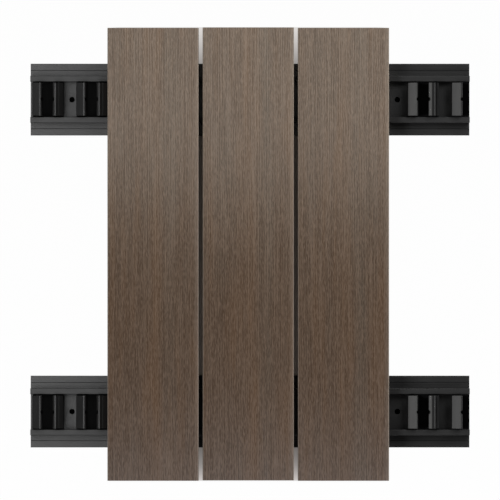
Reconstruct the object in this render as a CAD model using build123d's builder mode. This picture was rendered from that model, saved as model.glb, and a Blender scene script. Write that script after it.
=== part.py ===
from build123d import *

import os

# Three composite cladding boards, snapped onto clips that stand in two black aluminium rails.
# The panel lies on the backs of its rails. X runs along the rails, Y along the boards and Z out
# of the wall that the rails are screwed to. The origin is the middle of its footprint, at Z = 0.
# All lengths are in millimetres.

# Boards
board_names = ["left_board", "middle_board", "right_board"]
board_width = 90.0
board_length = 447.0
board_thickness = 21.0
board_gap = 4.0
board_stagger = 0.4  # how much higher the middle board sits than the outer two
board_front_radius = 1.2
board_back_chamfer = 0.8
board_top_overhang = 70.2  # from the centre line of the upper rail to the boards' upper ends
board_bottom_overhang = 67.2  # from the centre line of the lower rail to the boards' lower ends

# Undercut grooves in the back of each board
groove_width = 31.7
groove_depth = 10.0
groove_lip = 3.0  # thickness of the lips that narrow the mouth of a groove
groove_corner_radius = 1.0
groove_side_wall = 4.4

# Rails
rail_width = 71.2
rail_height = 15.0
rail_base = 2.5
rail_wall = 2.0
rail_lip_width = 5.7
rail_lip_thickness = 2.2
rail_opening = 34.9  # clear width between the lips
rail_ledge_width = 1.6
rail_ledge_thickness = 1.5
rail_edge_radius = 0.7
rail_score_depth = 0.3
rail_score_from_edge = 6.7  # centre line of the V-shaped score along each flange

# Clips
clip_base_thickness = 3.7
clip_base_corner = 3.0
clip_valley = 10.4  # clear width between the two heads of a clip
clip_stem = 3.0
clip_stem_inset = 1.2  # from the face of a head, towards the valley, to its stem
clip_stem_root = 1.2
clip_lead_in = 7.05  # how far the slanted flank of a head runs out to its barb
clip_barb_hold = 1.5  # how far a barb reaches behind the lip of its groove
clip_barb_face = 1.85
clip_head_undercut = 2.0
clip_head_radius = 0.7
clip_valley_radius = 1.8  # on the edges of the heads above the valley
clip_bead_radius = 0.6  # round bead along the flank of the right-hand head
clip_bead_run = 3.1  # from the top edge of the flank out to the bead
clip_notch_radius = 1.9
spare_clip_pitch = 43.5

# Clearances
groove_clearance = 0.6  # from the barbs to the side walls of a groove
barb_play = 0.25  # from the barbs to the lips of a groove
head_clearance = 0.5  # from the heads to the bottom of a groove
ledge_clearance = 0.3  # from the clip base to the ledges above it, and to the walls beside it
leg_end_gap = 1.25  # from the ends of the clip legs to the lips of the rail
spare_clip_clearance = 0.8  # from the spare clip to the first board

# Bare lengths of rail beside the boards
left_end_margin = 2.1  # from the left end of the rail to the first clip
right_bare_floor = 19.2  # from the last board to the next clip
saw_past_centre = 2.4  # the last clip is sawn through with the rail, just past its centre line

# Screw holes in the floor of each rail
screw_hole_diameter = 5.5
left_hole_from_board = 35.9
right_hole_from_board = 9.0

# Sizes that follow from the ones above
board_pitch = board_width + board_gap
board_row = len(board_names) * board_pitch - board_gap
groove_offset = board_width / 2 - groove_side_wall - groove_width / 2
clip_width = groove_width - 2 * groove_clearance
groove_mouth = clip_width - 2 * clip_barb_hold

left_overhang = left_end_margin + clip_width + spare_clip_pitch + spare_clip_clearance
right_overhang = right_bare_floor + clip_width / 2 + spare_clip_pitch + saw_past_centre
rail_length = left_overhang + board_row + right_overhang
rail_left = -rail_length / 2
rail_right = rail_length / 2
row_left = rail_left + left_overhang
row_right = row_left + board_row

rail_channel = rail_opening + 2 * (rail_lip_width - rail_wall)  # width between the walls
rail_body = rail_channel + 2 * rail_wall
rail_ledge_height = rail_base + clip_base_thickness + ledge_clearance

upper_rail_y = board_length / 2 - board_top_overhang
lower_rail_y = board_bottom_overhang - board_length / 2

first_spare_x = rail_left + left_end_margin + clip_width / 2
second_spare_x = first_spare_x + spare_clip_pitch
third_spare_x = row_right + right_bare_floor + clip_width / 2
sawn_spare_x = third_spare_x + spare_clip_pitch

left_hole_x = row_left - left_hole_from_board
right_hole_x = row_right + right_hole_from_board


def across_plane(centre_x, centre_y, height):
    """A plane for sections that are drawn across X and Z and run along Y."""
    return Plane(origin=(centre_x, centre_y, height), x_dir=(1, 0, 0), z_dir=(0, -1, 0))


def save(piece, name):
    """Label a finished piece and write it to its own file."""
    piece.part.label = name
    export_step(piece.part, f"parts/{name}.step")


def make_board(name, centre_x, centre_y):
    """An extruded board with rounded front edges and two undercut grooves along its back."""
    groove_bottoms = [(-groove_offset, 0), (groove_offset, 0)]
    groove_shoulders = [(-groove_offset, groove_lip), (groove_offset, groove_lip)]
    low = (Align.CENTER, Align.MIN)
    with BuildPart() as board:
        with BuildSketch(across_plane(centre_x, centre_y, rail_height)) as section:
            Rectangle(board_width, board_thickness, align=low)
            fillet(section.vertices().group_by(Axis.Y)[-1], radius=board_front_radius)
            chamfer(section.vertices().group_by(Axis.Y)[0], length=board_back_chamfer)
            with Locations(groove_bottoms):
                Rectangle(groove_mouth, groove_lip, align=low, mode=Mode.SUBTRACT)
            with Locations(groove_shoulders):
                Rectangle(groove_width, groove_depth - groove_lip, align=low, mode=Mode.SUBTRACT)
            ceiling = section.vertices().filter_by_position(
                Axis.Y, groove_depth - groove_corner_radius / 2, groove_depth + groove_corner_radius / 2
            )
            fillet(ceiling, radius=groove_corner_radius)
        extrude(amount=board_length / 2, both=True)
    save(board, name)


def make_rail(name, centre_y):
    """An extruded rail: a flat base, two walls with lips for the boards and ledges for the clips."""
    low = (Align.CENTER, Align.MIN)
    wall_x = rail_body / 2 - rail_wall / 2
    lip_x = rail_body / 2 - rail_lip_width / 2
    ledge_x = rail_channel / 2 - rail_ledge_width / 2
    score_x = rail_width / 2 - rail_score_from_edge
    with BuildPart() as rail:
        with BuildSketch(Plane(origin=(0, centre_y, 0), x_dir=(0, 1, 0), z_dir=(1, 0, 0))) as section:
            Rectangle(rail_width, rail_base, align=low)
            fillet(section.vertices().group_by(Axis.Y)[-1], radius=rail_edge_radius)
            with Locations((-wall_x, 0), (wall_x, 0)):
                Rectangle(rail_wall, rail_height, align=low)
            with Locations((-lip_x, rail_height), (lip_x, rail_height)):
                Rectangle(rail_lip_width, rail_lip_thickness, align=(Align.CENTER, Align.MAX))
            fillet(section.vertices().group_by(Axis.Y)[-1], radius=rail_edge_radius)
            with Locations((-ledge_x, rail_ledge_height), (ledge_x, rail_ledge_height)):
                Rectangle(rail_ledge_width, rail_ledge_thickness, align=low)
            with Locations((-score_x, rail_base), (score_x, rail_base)):
                Rectangle(
                    rail_score_depth * 2**0.5, rail_score_depth * 2**0.5, rotation=45, mode=Mode.SUBTRACT
                )
        extrude(amount=rail_length / 2, both=True)
        with Locations((left_hole_x, centre_y, rail_base), (right_hole_x, centre_y, rail_base)):
            Hole(radius=screw_hole_diameter / 2, depth=rail_base)
    save(rail, name)


def make_clip(name, centre_x, centre_y, sawn):
    """A moulded clip: a base under the ledges of the rail, and two legs with barbed heads."""
    base_top = rail_base + clip_base_thickness
    barb_low = rail_height + groove_lip + barb_play
    barb_high = barb_low + clip_barb_face
    head_top = rail_height + groove_depth - head_clearance
    head_inner = clip_valley / 2
    barb_tip = clip_width / 2
    crown_edge = barb_tip - clip_lead_in
    bead_drop = clip_bead_run * (head_top - barb_high) / clip_lead_in
    stem_inner = head_inner + clip_stem_inset
    stem_outer = stem_inner + clip_stem
    with BuildPart() as clip:
        with BuildSketch(Plane.XY.offset(rail_base)):
            with Locations((centre_x, centre_y)):
                RectangleRounded(clip_width, rail_channel - 2 * ledge_clearance, clip_base_corner)
        extrude(amount=clip_base_thickness)
        with BuildSketch(across_plane(centre_x, centre_y, 0)) as legs:
            with BuildLine():
                Polyline(
                    (stem_outer, base_top),
                    (stem_outer, barb_low),
                    (barb_tip, barb_low),
                    (barb_tip, barb_high),
                    (crown_edge, head_top),
                    (head_inner, head_top),
                    (head_inner, barb_low + clip_head_undercut),
                    (stem_inner, barb_low),
                    (stem_inner, base_top),
                    close=True,
                )
            make_face()
            valley_edge, flank_edge = legs.vertices().group_by(Axis.Y)[-1].sort_by(Axis.X)
            fillet(valley_edge, radius=clip_valley_radius)
            fillet(flank_edge, radius=clip_head_radius)
            mirror(about=Plane.YZ)
            with Locations((crown_edge + clip_bead_run, head_top - bead_drop)):
                Circle(clip_bead_radius)
        extrude(amount=rail_opening / 2 - leg_end_gap, both=True)
        roots = clip.edges().filter_by(Axis.Y).filter_by_position(
            Axis.Z, base_top - ledge_clearance, base_top + ledge_clearance
        )
        stem_roots = roots.filter_by(lambda edge: abs(edge.center().X - centre_x) < barb_tip - clip_stem_root)
        fillet(stem_roots, radius=clip_stem_root)
        with BuildSketch(Plane.XY.offset(head_top)):
            with Locations((centre_x - head_inner, centre_y), (centre_x + head_inner, centre_y)):
                Circle(clip_notch_radius)
        extrude(amount=barb_low - head_top, mode=Mode.SUBTRACT)
        if sawn:
            split(bisect_by=Plane.YZ.offset(rail_right), keep=Keep.BOTTOM)
    save(clip, name)


os.makedirs("parts", exist_ok=True)

rails = {"upper": upper_rail_y, "lower": lower_rail_y}
board_centres = [row_left + board_width / 2 + index * board_pitch for index in range(len(board_names))]
middle_index = len(board_names) // 2

for index, name in enumerate(board_names):
    stagger = board_stagger / 2 if index == middle_index else -board_stagger / 2
    make_board(name, board_centres[index], stagger)

clip_places = [first_spare_x, second_spare_x]
for centre in board_centres:
    clip_places += [centre - groove_offset, centre + groove_offset]
clip_places += [third_spare_x, sawn_spare_x]

for side, rail_y in rails.items():
    make_rail(f"{side}_rail", rail_y)
    for number, place in enumerate(clip_places, start=1):
        make_clip(f"{side}_clip_{number}", place, rail_y, sawn=number == len(clip_places))
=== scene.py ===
import math

import bpy
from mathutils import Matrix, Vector


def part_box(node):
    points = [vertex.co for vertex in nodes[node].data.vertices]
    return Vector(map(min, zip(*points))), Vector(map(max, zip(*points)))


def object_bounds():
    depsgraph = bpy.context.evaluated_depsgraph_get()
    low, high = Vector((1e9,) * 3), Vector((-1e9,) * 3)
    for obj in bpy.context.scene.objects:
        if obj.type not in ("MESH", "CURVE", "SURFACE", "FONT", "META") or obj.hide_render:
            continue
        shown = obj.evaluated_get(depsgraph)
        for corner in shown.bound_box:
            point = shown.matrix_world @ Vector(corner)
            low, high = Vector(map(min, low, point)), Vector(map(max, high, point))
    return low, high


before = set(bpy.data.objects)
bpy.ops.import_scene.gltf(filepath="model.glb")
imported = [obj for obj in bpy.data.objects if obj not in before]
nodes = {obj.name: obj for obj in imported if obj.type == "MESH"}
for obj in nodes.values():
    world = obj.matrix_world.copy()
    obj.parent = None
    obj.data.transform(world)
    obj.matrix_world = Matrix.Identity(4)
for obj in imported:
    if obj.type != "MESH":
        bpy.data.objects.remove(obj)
cad_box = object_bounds()
bpy.ops.object.select_all(action="DESELECT")


# Boards
# Planks of wood flour and plastic, extruded with two undercut grooves in the back. The front is
# brushed along its length, which opens fine streaks; the ends are sawn square and left raw.
board_names = ["left_board", "middle_board", "right_board"]
row_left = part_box("left_board")[0].x
board_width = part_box("left_board")[1].x - row_left
board_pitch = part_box("middle_board")[0].x - row_left

# Four kinds of brush mark. Hollows and tops say where on a mark, from 0 at its lowest to 1 at its
# highest, the darker and the lighter colour begin and are strongest.
hair_width = 0.00055
hair_length = 0.004
hair_hollows = (0.5, 0.0)
hair_darkening = 0.15
hair_tops = (0.6, 1.0)
hair_lightening = 0.43

streak_width = 0.0007
streak_length = 0.02
streak_hollows = (0.4, 0.05)
streak_darkening = 0.15
streak_tops = (0.6, 0.95)
streak_lightening = 0.42

comb_width = 0.0007
comb_length = 0.09
comb_hollows = (0.5, 0.0)
comb_darkening = 0.25
comb_tops = (0.5, 1.0)
comb_lightening = 0.3

ridge_pitch = 0.0023
ridge_length = 0.022
ridge_wander = 4.5
ridge_hollows = (0.5, 0.0)
ridge_darkening = 0.06
ridge_tops = (0.5, 1.0)
ridge_lightening = 0.12
wave_turn_per_cell = 20
waves_per_cell = wave_turn_per_cell / (2 * math.pi)

# Slow drifts of colour, and bands across a board, which is 0 at its left edge and 1 at its right
# and is eased towards both edges.
drift_width = 0.011
drift_length = 0.16
warm_drift = (0.5, 1.0)
warm_drift_share = 0.5
cool_drift = (0.5, 0.0)
cool_drift_share = 0.4
warm_band_place = (0.3, 0.55, 0.58, 0.68)
warm_band_share = 0.25
cool_band_place = (0.62, 0.72, 0.8, 0.9)
cool_band_share = 0.3
# Painted shade over the left half of each board, darkest at its left edge.
shaded_left_side = (0.0, 0.5)
shaded_left_share = 0.2

# Painted highlight along the right-hand edge, painted highlight and reflection on the arrises, then the
# sawn ends and the backs.
right_highlight_start = 0.006
right_highlight_end = 0.0005
right_highlight_share = 0.22
arris_highlight_share = 0.65
fibre_size = 0.0009
back_share = 0.8

# Sheen and relief: how rough the composite is, and how the brushing polishes and scores it.
board_roughness = 0.2
streak_roughness = 0.08
hair_roughness = 0.12
sawn_roughness = 0.25
hair_polish = 0.25
comb_polish = 0.45
ridge_polish = 0.3
polish_range = (0.2, 0.8)
gloss_range = (0.18, 0.84)
streak_height = 0.5
brush_relief = 0.15
brush_depth = 0.0003


def swatch(red, green, blue):
    """A colour as it is read off a colour card, turned into the linear values that a shader takes."""
    parts = [value / 255 for value in (red, green, blue)]
    linear = [part / 12.92 if part <= 0.04045 else ((part + 0.055) / 1.055) ** 2.4 for part in parts]
    return (*linear, 1)


composite_brown = swatch(79, 64, 52)
composite_dark = swatch(65, 51, 40)
composite_light = swatch(113, 95, 80)
composite_warm = swatch(98, 76, 57)
composite_cool = swatch(83, 74, 65)
composite_arris_highlight = swatch(134, 125, 116)
composite_sawn = swatch(112, 93, 76)
composite_sawn_dark = swatch(76, 60, 48)
composite_back = swatch(74, 61, 51)


def feed(tree, node, inputs):
    """Feed a node's inputs with plain values or with other nodes' outputs."""
    for socket, source in inputs.items():
        if isinstance(source, bpy.types.NodeSocket):
            tree.links.new(source, node.inputs[socket])
        else:
            node.inputs[socket].default_value = source


def add_node(tree, kind, inputs=None, **settings):
    """Add a node with these settings, and feed its inputs."""
    made = tree.nodes.new(kind)
    for name, value in settings.items():
        setattr(made, name, value)
    feed(tree, made, inputs or {})
    return made


def maths(tree, operation, *values):
    """One step of arithmetic on values that change over the surface."""
    return add_node(tree, "ShaderNodeMath", dict(enumerate(values)), operation=operation).outputs[0]


def total(tree, base, *shares):
    """A base value plus a share of each further value, given as pairs of value and share."""
    for value, share in shares:
        base = maths(tree, "MULTIPLY_ADD", value, share, base)
    return base


def fade(tree, value, start, end, low=0.0, high=1.0, curve="SMOOTHSTEP"):
    """A ramp from low to high while the value goes from start to end, soft unless told otherwise."""
    inputs = {"Value": value, "From Min": start, "From Max": end, "To Min": low, "To Max": high}
    made = add_node(tree, "ShaderNodeMapRange", inputs, interpolation_type=curve)
    return made.outputs["Result"]


def band(tree, value, start, full, fading, gone):
    """A mask that comes in from start to full, and goes out again from fading to gone."""
    coming = fade(tree, value, start, full)
    going = fade(tree, value, fading, gone, 1.0, 0.0)
    return maths(tree, "MULTIPLY", coming, going)


def tint(tree, mask, under, over):
    """One colour laid over another through a mask. The node's colour sockets are known by number."""
    under_socket = 6
    over_socket = 7
    result_socket = 2
    inputs = {"Factor": mask, under_socket: under, over_socket: over}
    return add_node(tree, "ShaderNodeMix", inputs, data_type="RGBA").outputs[result_socket]


def axes(tree, vector):
    """The X, Y and Z of a place or a direction."""
    return add_node(tree, "ShaderNodeSeparateXYZ", {"Vector": vector}).outputs


def start_group(name, inputs, outputs):
    """An empty node group with these sockets."""
    group = bpy.data.node_groups.new(name, "ShaderNodeTree")
    for socket_name, kind in inputs.items():
        group.interface.new_socket(socket_name, in_out="INPUT", socket_type=kind)
    for socket_name, kind in outputs.items():
        group.interface.new_socket(socket_name, in_out="OUTPUT", socket_type=kind)
    return group


def use_group(tree, group, inputs=None):
    """Place a node group in a material."""
    return add_node(tree, "ShaderNodeGroup", inputs, node_tree=group).outputs


def make_grain_group():
    """Noise at the position that is fed in, spread to the full range from 0 to 1."""
    octave_share = 0.55
    usual_lowest = 0.28
    usual_highest = 0.72
    group = start_group(
        "drawn_grain",
        {"Position": "NodeSocketVector", "Detail": "NodeSocketFloat"},
        {"Grain": "NodeSocketFloat"},
    )
    entry = add_node(group, "NodeGroupInput").outputs
    inputs = {"Vector": entry["Position"], "Detail": entry["Detail"]}
    noise = add_node(group, "ShaderNodeTexNoise", inputs)
    feed(group, noise, {"Scale": 1.0, "Roughness": octave_share})
    spread = fade(group, noise.outputs["Fac"], usual_lowest, usual_highest, curve="LINEAR")
    add_node(group, "NodeGroupOutput", {"Grain": spread})
    return group


def make_facing_group():
    """Masks for where a face points: round arrises, fronts, sawn ends, and backs towards the wall."""
    arris_tilt = (0.05, 0.4, 0.9, 0.995)
    front_tilt = (0.86, 0.95)
    end_tilt = 0.97
    back_tilt = -0.9
    mask_names = ["Arris", "Front", "End_X", "End_Y", "Back"]
    group = start_group("facing", {}, dict.fromkeys(mask_names, "NodeSocketFloat"))
    normal = axes(group, add_node(group, "ShaderNodeNewGeometry").outputs["Normal"])
    masks = {
        "Arris": band(group, normal["Z"], *arris_tilt),
        "Front": fade(group, normal["Z"], *front_tilt),
        "End_X": maths(group, "GREATER_THAN", maths(group, "ABSOLUTE", normal["X"]), end_tilt),
        "End_Y": maths(group, "GREATER_THAN", maths(group, "ABSOLUTE", normal["Y"]), end_tilt),
        "Back": maths(group, "LESS_THAN", normal["Z"], back_tilt),
    }
    add_node(group, "NodeGroupOutput", masks)
    return group


drawn_grain = make_grain_group()
facing = make_facing_group()


def stretched(tree, position, cell):
    """The position counted in cells of this size, for a grain that is longer one way than another."""
    inputs = {"Vector": position, "Scale": [1 / length for length in cell]}
    return add_node(tree, "ShaderNodeMapping", inputs).outputs["Vector"]


def grain(tree, position, cell, detail):
    """Grain from 0 to 1 in cells of this size; more detail breaks it up finer."""
    inputs = {"Position": stretched(tree, position, cell), "Detail": detail}
    return use_group(tree, drawn_grain, inputs)["Grain"]


def relief(tree, height, strength, depth):
    """Marks in the surface that are too fine for the mesh."""
    inputs = {"Height": height, "Strength": strength, "Distance": depth}
    return add_node(tree, "ShaderNodeBump", inputs).outputs["Normal"]


def start_material(name):
    """A new material with only its shader and its output."""
    material = bpy.data.materials.new(name)
    material.use_nodes = True
    tree = material.node_tree
    return material, tree, tree.nodes["Principled BSDF"]


def own_position(tree):
    """Where a point of the surface lies, in the object's own coordinates."""
    return add_node(tree, "ShaderNodeTexCoord").outputs["Object"]


def dress(names, material):
    """Give the material to these CAD nodes."""
    for name in names:
        nodes[name].data.materials.clear()
        nodes[name].data.materials.append(material)


def brush(tree, colour, marks, hollows, darkening, tops, lightening):
    """Darken the hollows of the brush marks and lighten their tops."""
    colour = tint(tree, fade(tree, marks, *hollows, 0.0, darkening), colour, composite_dark)
    return tint(tree, fade(tree, marks, *tops, 0.0, lightening), colour, composite_light)


def make_ridges(tree, position):
    """Shallow ridges along the board, a little way apart, that wander from side to side."""
    cell = (ridge_pitch * waves_per_cell, ridge_length, ridge_length)
    inputs = {"Vector": stretched(tree, position, cell), "Scale": 1.0, "Detail": 1.0}
    inputs["Distortion"] = ridge_wander
    return add_node(tree, "ShaderNodeTexWave", inputs, bands_direction="X").outputs["Fac"]


def make_composite():
    """Brushed composite: hair lines, streaks and slow drifts of colour along the board."""
    material, tree, shader = start_material("brushed_composite")
    position = own_position(tree)
    faces = use_group(tree, facing)
    hairs = grain(tree, position, (hair_width, hair_length, hair_width), detail=0.0)
    streaks = grain(tree, position, (streak_width, streak_length, streak_width), detail=1.0)
    combs = grain(tree, position, (comb_width, comb_length, comb_width), detail=1.0)
    drifts = grain(tree, position, (drift_width, drift_length, drift_width), detail=2.0)
    fibres = grain(tree, position, (fibre_size, fibre_size, fibre_size), detail=3.0)
    ridges = make_ridges(tree, position)

    on_board = maths(tree, "WRAP", axes(tree, position)["X"], row_left + board_pitch, row_left)
    right_edge = row_left + board_width
    across = fade(tree, on_board, row_left, right_edge)
    warm_band = band(tree, across, *warm_band_place)
    cool_band = band(tree, across, *cool_band_place)
    warm_drifts = fade(tree, drifts, *warm_drift)
    cool_drifts = fade(tree, drifts, *cool_drift)
    warm = total(tree, 0.0, (warm_drifts, warm_drift_share), (warm_band, warm_band_share))
    cool = total(tree, 0.0, (cool_drifts, cool_drift_share), (cool_band, cool_band_share))
    colour = tint(tree, warm, composite_brown, composite_warm)
    colour = tint(tree, cool, colour, composite_cool)
    # Painted shade: darker towards each board's left edge.
    colour = tint(tree, fade(tree, across, *shaded_left_side, shaded_left_share, 0.0), colour, composite_dark)

    colour = brush(tree, colour, combs, comb_hollows, comb_darkening, comb_tops, comb_lightening)
    colour = brush(tree, colour, ridges, ridge_hollows, ridge_darkening, ridge_tops, ridge_lightening)
    colour = brush(tree, colour, streaks, streak_hollows, streak_darkening, streak_tops, streak_lightening)
    colour = brush(tree, colour, hairs, hair_hollows, hair_darkening, hair_tops, hair_lightening)

    # Painted highlight: each board turns lighter towards its right-hand edge.
    painted_light_ramp = fade(tree, on_board, right_edge - right_highlight_start, right_edge - right_highlight_end, 0.0, right_highlight_share)
    colour = tint(tree, painted_light_ramp, colour, composite_arris_highlight)
    # Painted highlight and reflection on the board arrises, in a grey that stands for the white
    # surroundings.
    arris_tint = maths(tree, "MULTIPLY", faces["Arris"], arris_highlight_share)
    colour = tint(tree, arris_tint, colour, composite_arris_highlight)
    sawn = tint(tree, fibres, composite_sawn_dark, composite_sawn)
    colour = tint(tree, faces["End_Y"], colour, sawn)
    dull = maths(tree, "MULTIPLY", faces["Back"], back_share)
    colour = tint(tree, dull, colour, composite_back)

    rough = total(tree, board_roughness, (streaks, streak_roughness), (hairs, hair_roughness))
    rough = total(tree, rough, (faces["End_Y"], sawn_roughness))
    polish = total(tree, 0.0, (hairs, hair_polish), (combs, comb_polish), (ridges, ridge_polish))
    polish = fade(tree, polish, *polish_range, *gloss_range)
    gloss = maths(tree, "MULTIPLY", polish, maths(tree, "SUBTRACT", 1.0, faces["End_Y"]))
    height = total(tree, hairs, (streaks, streak_height))
    normal = relief(tree, height, brush_relief, brush_depth)
    feed(tree, shader, {"Base Color": colour, "Roughness": rough, "Coat Weight": gloss, "Normal": normal})
    feed(tree, shader, {"Specular IOR Level": 0.25, "Coat Roughness": 0.3, "Coat IOR": 1.5})
    return material


dress(board_names, make_composite())


# Rails
# Extruded aluminium, black anodised, with a flange each side to lie on the wall and a channel with
# lips that carry the boards. Each is sawn to length afterwards, so its two ends are bare metal.
rail_names = ["upper_rail", "lower_rail"]
rail_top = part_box("upper_rail")[1].z
anodised_black = swatch(22, 22, 22)
anodised_worn = swatch(38, 38, 38)
bare_aluminium = swatch(196, 196, 198)
draw_line_cell = (0.12, 0.0005, 0.0005)
draw_line_tops = (0.3, 1.0)
draw_line_share = 0.35
draw_line_relief = 0.12
draw_line_depth = 0.0002
cloud_cell = (0.03, 0.012, 0.012)
saw_mark_cell = (0.02, 0.006, 0.0004)
saw_mark_share = 0.35
rail_arris_wear = 0.5
lip_start = 0.001
lip_end = 0.0002
rail_roughness = 0.32
cloud_roughness = 0.1
draw_line_roughness = 0.08
lip_roughness = 0.14


def make_anodised():
    """Satin black with fine draw lines along the rail, rubbed lighter on the arrises."""
    material, tree, shader = start_material("black_anodised")
    position = own_position(tree)
    faces = use_group(tree, facing)
    lines = grain(tree, position, draw_line_cell, detail=2.0)
    cloud = grain(tree, position, cloud_cell, detail=3.0)
    saw_marks = grain(tree, position, saw_mark_cell, detail=2.0)

    drawn = fade(tree, lines, *draw_line_tops, 0.0, draw_line_share)
    colour = tint(tree, drawn, anodised_black, anodised_worn)
    arris_tint = maths(tree, "MULTIPLY", faces["Arris"], rail_arris_wear)
    colour = tint(tree, arris_tint, colour, anodised_worn)
    scored = maths(tree, "MULTIPLY", saw_marks, saw_mark_share)
    cut = tint(tree, scored, bare_aluminium, anodised_worn)
    colour = tint(tree, faces["End_X"], colour, cut)

    on_lip = fade(tree, axes(tree, position)["Z"], rail_top - lip_start, rail_top - lip_end)
    rough = total(tree, rail_roughness, (cloud, cloud_roughness), (lines, draw_line_roughness))
    rough = total(tree, rough, (on_lip, lip_roughness))
    normal = relief(tree, lines, draw_line_relief, draw_line_depth)
    feed(tree, shader, {"Base Color": colour, "Roughness": rough, "Normal": normal})
    feed(tree, shader, {"Metallic": faces["End_X"], "IOR": 1.55})
    return material


dress(rail_names, make_anodised())


# Clips
# Black plastic mouldings that slide into the rails from the end. Each has two springy legs with
# barbed heads that snap into a groove of a board; the last one was sawn off with its rail.
clip_names = [name for name in nodes if "clip" in name]
clip_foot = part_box("upper_clip_1")[0].z
head_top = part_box("upper_clip_1")[1].z
rail_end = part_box("upper_rail")[1].x
clip_painted_shade = swatch(24, 24, 25)
clip_black = swatch(64, 64, 64)
clip_scuffed = swatch(80, 80, 79)
clip_sawn = swatch(98, 98, 98)
spark_size = 0.0006
spark_relief = 0.1
spark_depth = 0.0002
flow_cell = (0.004, 0.02, 0.004)
flow_share = 0.25
shade_and_rub_height = 0.3
crest_start = 0.003
crest_end = 0.002
crest_scuff_and_highlight = 0.8
crest_spark = 0.2
saw_reach = 0.00005
clip_roughness = 0.68
flow_roughness = 0.08
spark_roughness = 0.12
rubbed_polish = 0.3
crest_polish = 0.36


def make_clip_plastic():
    """Moulded plastic with a fine spark texture, smoother where boards rub over it. It darkens towards its
    foot as painted shade, and its crests are lighter, partly from scuffing and partly as painted
    highlight.
    """
    material, tree, shader = start_material("clip_plastic")
    position = own_position(tree)
    place = axes(tree, position)
    faces = use_group(tree, facing)
    spark = grain(tree, position, (spark_size, spark_size, spark_size), detail=3.0)
    flow = grain(tree, position, flow_cell, detail=2.0)

    # Painted shade: the clip darkens towards its foot; the same ramp makes the heads smoother where boards
    # rub.
    shade_and_rub_foot = clip_foot + shade_and_rub_height * (head_top - clip_foot)
    painted_light_ramp = fade(tree, place["Z"], shade_and_rub_foot, head_top)
    on_top = fade(tree, place["Z"], head_top - crest_start, head_top - crest_end)
    crest = maths(tree, "MULTIPLY", faces["Front"], on_top)
    at_saw = maths(tree, "GREATER_THAN", place["X"], rail_end - saw_reach)
    sawn = maths(tree, "MULTIPLY", at_saw, faces["End_X"])
    colour = tint(tree, maths(tree, "MULTIPLY", flow, flow_share), clip_black, clip_scuffed)
    colour = tint(tree, painted_light_ramp, clip_painted_shade, colour)
    # The crests are lighter, partly from scuffing and partly as a painted highlight.
    colour = tint(tree, maths(tree, "MULTIPLY", crest, crest_scuff_and_highlight), colour, clip_scuffed)
    colour = tint(tree, sawn, colour, clip_sawn)

    rough = total(tree, clip_roughness, (flow, flow_roughness), (spark, spark_roughness))
    rough = total(tree, rough, (painted_light_ramp, -rubbed_polish), (crest, -crest_polish))
    height = maths(tree, "MULTIPLY", spark, fade(tree, crest, 0.0, 1.0, 1.0, crest_spark))
    normal = relief(tree, height, spark_relief, spark_depth)
    feed(tree, shader, {"Base Color": colour, "Roughness": rough, "Normal": normal})
    feed(tree, shader, {"Specular IOR Level": 0.5})
    return material


dress(clip_names, make_clip_plastic())


# Floor
# A wide pale floor that the panel rests on, with a black card under each rail as painted shade, so that
# the screw holes look into the dark as they do on a wall. Under the boards the floor is tinted warm as
# painted bounce light, and at the ends of the gaps it glows as painted light.
floor_size = 14
floor_drop = 0.0006
floor_white = (0.86, 0.86, 0.86, 1)
floor_painted_bounce = (0.88, 0.75, 0.64, 1)
glow_white = (1, 1, 1, 1)
painted_warm_glow = (1, 0.96, 0.93, 1)
glow_share = 0.985
row_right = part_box("right_board")[1].x
row_end = (cad_box[1].y - cad_box[0].y) / 2
side_reach = 0.03
beyond_reach = 0.002
upper_reach = 0.06
upper_painted_glow = 0.72
lower_reach = 0.0534
lower_painted_glow = 0.28
lower_paleness = 2.0


def largest(tree, first, *others):
    """The largest of several values."""
    for other in others:
        first = maths(tree, "MAXIMUM", first, other)
    return first


def make_floor_white():
    """Matt white; the eye sees it lifted to white outside the boards, with a weak shadow left. Under the
    boards it is tinted warm as painted bounce light, and at the gap ends it glows as painted light.
    """
    material, tree, shader = start_material("floor_white")
    place = axes(tree, own_position(tree))
    left_side = fade(tree, place["X"], row_left + side_reach, row_left)
    right_side = fade(tree, place["X"], row_right - side_reach, row_right)
    beyond = fade(tree, maths(tree, "ABSOLUTE", place["Y"]), row_end, row_end + beyond_reach)
    outside = largest(tree, left_side, right_side, beyond)
    # Painted light: the floor glows at the ends of the gaps under the boards, more at the upper end.
    upper_end = fade(tree, place["Y"], row_end - upper_reach, row_end, 0.0, upper_painted_glow, "LINEAR")
    lower_end = fade(tree, place["Y"], lower_reach - row_end, -row_end, 0.0, lower_painted_glow, "LINEAR")
    paler = total(tree, outside, (lower_end, lower_paleness))
    # Painted bounce light: under the boards the floor is tinted warm, paler at the lower end.
    feed(tree, shader, {"Base Color": tint(tree, paler, floor_painted_bounce, floor_white)})
    feed(tree, shader, {"Roughness": 0.9, "Specular IOR Level": 0.0})

    path = add_node(tree, "ShaderNodeLightPath").outputs
    seen = largest(tree, path["Is Camera Ray"], path["Is Glossy Ray"], path["Is Transmission Ray"])
    lifted = maths(tree, "MULTIPLY", largest(tree, upper_end, lower_end, outside), seen)
    share = maths(tree, "MULTIPLY", lifted, glow_share)
    glow_colour = tint(tree, outside, painted_warm_glow, glow_white)
    glow = add_node(tree, "ShaderNodeEmission", {"Color": glow_colour, "Strength": 1.0})
    shaders = {"Fac": share, 1: shader.outputs[0], 2: glow.outputs[0]}
    mixed = add_node(tree, "ShaderNodeMixShader", shaders)
    feed(tree, tree.nodes["Material Output"], {"Surface": mixed.outputs[0]})
    return material


bpy.ops.mesh.primitive_plane_add(size=floor_size, location=(0, 0, 0))
floor = bpy.context.object
floor.name = "floor"
bpy.ops.transform.translate(value=(0, 0, -floor_drop))
bpy.ops.object.transform_apply(location=True)
floor.data.materials.append(make_floor_white())

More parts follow.
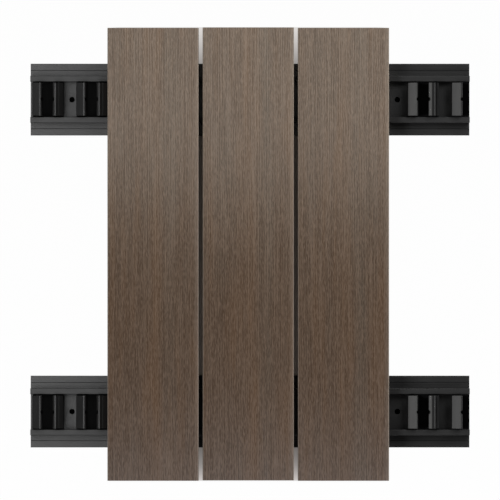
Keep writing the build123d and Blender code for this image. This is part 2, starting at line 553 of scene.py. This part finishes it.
# Black cards under the rails are painted shade, standing in for the dark behind the screw holes.
card_drop = 0.0002
card_inset = 0.002
painted_shade_black = (0.004, 0.004, 0.004, 1)
card_material, card_tree, card_shader = start_material("painted_shade_black")
feed(card_tree, card_shader, {"Base Color": painted_shade_black, "Roughness": 0.9, "Specular IOR Level": 0.0})
for name in rail_names:
    low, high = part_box(name)
    middle = (low + high) / 2
    size = high - low
    bpy.ops.mesh.primitive_plane_add(size=1, location=(middle.x, middle.y, -card_drop))
    card = bpy.context.object
    card.name = name + "_shade_card"
    card.scale = (size.x - 2 * card_inset, size.y - 2 * card_inset, 1)
    bpy.ops.object.transform_apply(location=True, scale=True)
    card.data.materials.append(card_material)


# Light and camera
# Ten soft boxes and a low even sky. The boards, the rails and the clips at each end have boxes of
# their own, so that each is lit from its own side. The camera looks straight down from far above.
def hang_light(name, place, target, size, power, lit, colour=(1, 1, 1), mirrored=True):
    """A soft box, turned to the target, that lights only some pieces; the others still shade them."""
    bpy.ops.object.light_add(type="AREA", location=place)
    lamp = bpy.context.object
    lamp.name = name
    lamp.data.shape = "RECTANGLE"
    lamp.data.size, lamp.data.size_y = size
    lamp.data.energy = power
    lamp.data.color = colour
    lamp.rotation_mode = "QUATERNION"
    lamp.rotation_quaternion = (Vector(target) - Vector(place)).to_track_quat("-Z", "Y")
    lamp.visible_camera = False
    lamp.visible_glossy = mirrored
    falls_on = bpy.data.collections.new(name + "_falls_on")
    for piece in lit:
        falls_on.objects.link(piece)
    lamp.light_linking.receiver_collection = falls_on


boards = [nodes[name] for name in board_names]
rails = [nodes[name] for name in rail_names]
clips = [nodes[name] for name in clip_names]
right_clips = [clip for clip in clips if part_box(clip.name)[0].x > row_right]
left_clips = [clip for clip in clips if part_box(clip.name)[1].x < row_left]

hang_light(
    "left_key", place=(-1.9, 0.1, 2.0), target=(0.15, 0, 0), size=(1.0, 1.0), power=120,
    lit=right_clips, mirrored=False,
)
hang_light(
    "clip_key", place=(-2.0, 0.8, 1.0), target=(-0.2, 0, 0), size=(0.7, 0.7), power=4.2,
    lit=left_clips,
)
hang_light(
    "crest_strip", place=(-0.205, 0, 0.8), target=(-0.205, 0, 0), size=(0.09, 1.2), power=0.62,
    lit=left_clips,
)
hang_light(
    "rail_soft_box", place=(-0.56, 0, 0.8), target=(-0.56, 0, 0), size=(0.7, 1.2), power=9.6,
    lit=rails,
)
hang_light(
    "upper_key", place=(1.2, 1.5, 2.6), target=(0.15, 0, 0), size=(1.5, 1.5), power=30,
    lit=rails,
)
hang_light(
    "lower_fill", place=(1.2, -1.5, 2.6), target=(0.15, 0, 0), size=(1.5, 1.5), power=4,
    lit=rails,
)
hang_light(
    "board_soft_box", place=(0, 0.334, 0.5), target=(0, 0.334, 0), size=(1.2, 0.56), power=4.45,
    lit=boards, colour=(1, 0.95, 0.86),
)
hang_light(
    "board_fill", place=(0, -0.455, 0.5), target=(0, -0.455, 0), size=(1.2, 0.45), power=2.65,
    lit=boards + [floor], colour=(0.965, 0.945, 0.98),
)
hang_light(
    "edge_light", place=(2.4, 0.3, 0.4), target=(0, 0, 0), size=(0.6, 1.0), power=46,
    lit=boards, mirrored=False,
)
hang_light(
    "edge_fill", place=(-2.4, 0.3, 0.4), target=(0, 0, 0), size=(0.6, 1.0), power=9,
    lit=boards, mirrored=False,
)

sky_white = (1, 1, 1, 1)
sky_strength = 0.06
world = bpy.data.worlds.new("studio")
bpy.context.scene.world = world
world.use_nodes = True
sky = world.node_tree.nodes["Background"]
feed(world.node_tree, sky, {"Color": sky_white, "Strength": sky_strength})

camera_height = 6.0
frame_width = 0.4934
camera_y = 0.00405
sensor_width = 36
board_face = cad_box[1].z
bpy.ops.object.camera_add(location=(0, camera_y, board_face + camera_height), rotation=(0, 0, 0))
camera = bpy.context.object
camera.data.sensor_width = sensor_width
camera.data.lens = sensor_width * camera_height / frame_width
bpy.context.scene.camera = camera
bpy.context.scene.view_settings.view_transform = "Standard"
